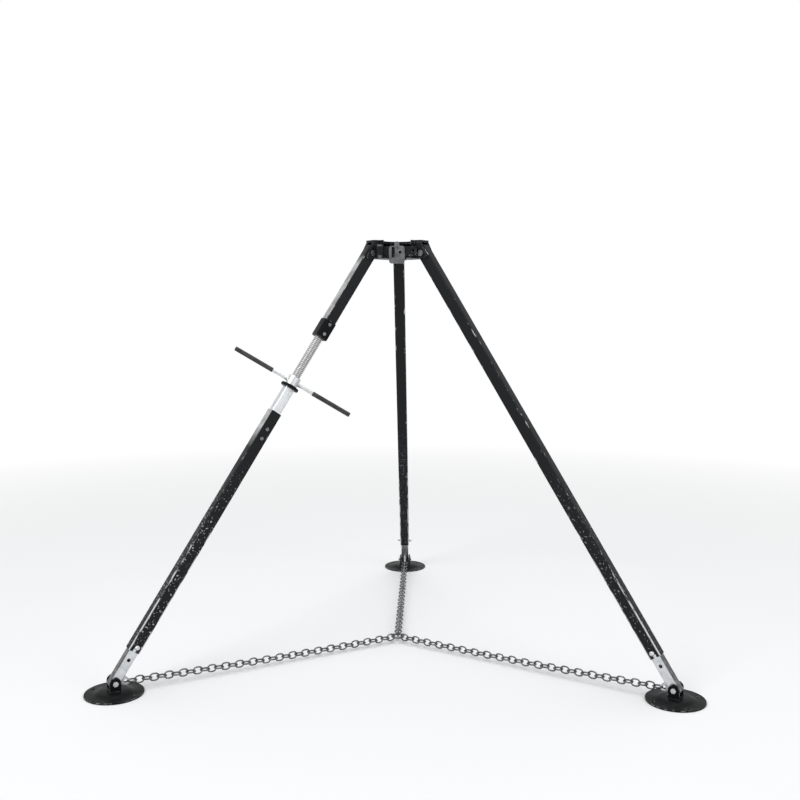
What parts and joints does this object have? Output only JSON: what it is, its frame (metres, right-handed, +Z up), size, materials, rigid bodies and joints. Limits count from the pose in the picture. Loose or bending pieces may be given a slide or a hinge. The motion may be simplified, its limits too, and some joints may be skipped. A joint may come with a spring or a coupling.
{
  "type": "tripod king pin stabilizer jack",
  "caption": "Tripod stand of square telescoping legs with a screw jack, swivel foot pads, spreader chains and an open head for a coupling pin.",
  "frame": {"origin": "on the ground, under the middle of the box around the stand", "axes": "+Z up, +Y towards the single back leg, +X right as seen from the gate side"},
  "size_m": [1.593, 1.4, 1.18],
  "materials": {
    "black_paint": "satin black powder coat",
    "zinc_plate": "bright zinc plating",
    "oiled_steel": "oiled bare steel",
    "black_vinyl": "dipped vinyl cap"
  },
  "bodies": {
    "head": {"head_top_plate": "black_paint", "head_wall": "black_paint", "head_jaw_plate": "black_paint", "back_leg_lugs": "black_paint", "right_leg_lugs": "black_paint", "left_leg_lugs": "black_paint", "hinge_bolts": "zinc_plate", "hinge_nuts": "zinc_plate", "gate_lugs": "black_paint", "gate_bolt": "zinc_plate", "gate_nut": "zinc_plate"},
    "gate": {"gate_strap": "zinc_plate", "gate_bar": "black_paint"},
    "back_leg": {"back_leg_tube": "black_paint"},
    "right_leg": {"right_leg_tube": "black_paint"},
    "left_upper_leg": {"left_upper_tube": "black_paint", "nut_collar": "black_paint", "collar_screws": "zinc_plate"},
    "left_lower_leg": {"thrust_ring": "black_paint", "jack_sleeve": "zinc_plate", "sleeve_bolts": "zinc_plate", "left_lower_tube": "black_paint"},
    "screw": {"jack_screw": "oiled_steel", "handle_hub": "zinc_plate", "screw_retainer": "zinc_plate"},
    "handle": {"handle_bar": "zinc_plate", "handle_caps": "black_vinyl"},
    "back_foot_section": {"back_foot_tube": "zinc_plate", "back_chain_eye": "zinc_plate", "back_chain": "zinc_plate", "back_foot_bolt": "zinc_plate", "back_foot_nut": "zinc_plate", "chain_ring": "zinc_plate"},
    "back_pad": {"back_foot_pad": "black_paint", "back_foot_clevis": "black_paint"},
    "back_lock_pin": {"back_lock_pin": "zinc_plate"},
    "right_foot_section": {"right_foot_tube": "zinc_plate", "right_chain_eye": "zinc_plate", "right_chain": "zinc_plate", "right_foot_bolt": "zinc_plate", "right_foot_nut": "zinc_plate"},
    "right_pad": {"right_foot_pad": "black_paint", "right_foot_clevis": "black_paint"},
    "right_lock_pin": {"right_lock_pin": "zinc_plate"},
    "left_foot_section": {"left_foot_tube": "zinc_plate", "left_chain_eye": "zinc_plate", "left_chain": "zinc_plate", "left_foot_bolt": "zinc_plate", "left_foot_nut": "zinc_plate"},
    "left_pad": {"left_foot_pad": "black_paint", "left_foot_clevis": "black_paint"},
    "left_lock_pin": {"left_lock_pin": "zinc_plate"}
  },
  "joints": [
    {"name": "back_leg_fold", "type": "hinge", "parent": "head", "child": "back_leg", "pos_m": [0, -0.117, 1.143], "axis": [-1, 0, 0], "range_deg": [0, 33], "deforming": ["back_chain"]},
    {"name": "back_foot_extension", "type": "slide", "parent": "back_leg", "child": "back_foot_section", "axis": [0, 0.5549, -0.8319], "range_m": [0, 0.2286], "deforming": ["back_chain"]},
    {"name": "back_pad_swivel", "type": "hinge", "parent": "back_foot_section", "child": "back_pad", "pos_m": [0, 0.624, 0.032], "axis": [-1, 0, 0], "range_deg": [-12, 12]},
    {"name": "back_lock_pin_pull", "type": "slide", "parent": "back_foot_section", "child": "back_lock_pin", "axis": [1, 0, 0], "range_m": [0, 0.045]},
    {"name": "right_leg_fold", "type": "hinge", "parent": "head", "child": "right_leg", "pos_m": [0.07881, -0.2535, 1.143], "axis": [0.5, 0.866, 0], "range_deg": [0, 33], "deforming": ["right_chain"]},
    {"name": "right_foot_extension", "type": "slide", "parent": "right_leg", "child": "right_foot_section", "axis": [0.4805, -0.2774, -0.8319], "range_m": [0, 0.2286], "deforming": ["right_chain"]},
    {"name": "right_pad_swivel", "type": "hinge", "parent": "right_foot_section", "child": "right_pad", "pos_m": [0.72053, -0.624, 0.032], "axis": [0.5, 0.866, 0], "range_deg": [-12, 12]},
    {"name": "right_lock_pin_pull", "type": "slide", "parent": "right_foot_section", "child": "right_lock_pin", "axis": [-0.5, -0.866, 0], "range_m": [0, 0.045]},
    {"name": "left_leg_fold", "type": "hinge", "parent": "head", "child": "left_upper_leg", "pos_m": [-0.07881, -0.2535, 1.143], "axis": [0.5, -0.866, 0], "range_deg": [0, 33], "deforming": ["left_chain"]},
    {"name": "left_foot_extension", "type": "slide", "parent": "left_lower_leg", "child": "left_foot_section", "axis": [-0.4805, -0.2774, -0.8319], "range_m": [0, 0.2286], "deforming": ["left_chain"]},
    {"name": "left_pad_swivel", "type": "hinge", "parent": "left_foot_section", "child": "left_pad", "pos_m": [-0.72053, -0.624, 0.032], "axis": [0.5, -0.866, 0], "range_deg": [-12, 12]},
    {"name": "left_lock_pin_pull", "type": "slide", "parent": "left_foot_section", "child": "left_lock_pin", "axis": [0.5, -0.866, 0], "range_m": [0, 0.045]},
    {"name": "handle_turn", "type": "hinge", "parent": "left_lower_leg", "child": "screw", "pos_m": [-0.28303, -0.37141, 0.78943], "axis": [-0.4805, -0.2774, -0.8319], "range_deg": [-6120, 7920]},
    {"name": "jack_travel", "type": "slide", "parent": "left_upper_leg", "child": "left_lower_leg", "axis": [-0.4805, -0.2774, -0.8319], "range_m": [-0.0864, 0.1118], "deforming": ["left_chain"]},
    {"name": "handle_slide", "type": "slide", "parent": "screw", "child": "handle", "axis": [-0.8576, -0.0495, 0.5119], "range_m": [-0.045, 0.045]},
    {"name": "gate_swing", "type": "hinge", "parent": "head", "child": "gate", "pos_m": [-0.047, -0.2854, 1.149], "axis": [0, 0, -1], "range_deg": [0, 110]}
  ],
  "couplings": [
    {"joint": "jack_travel", "follows": "handle_turn", "m_per_rad": 0.00080851}
  ]
}
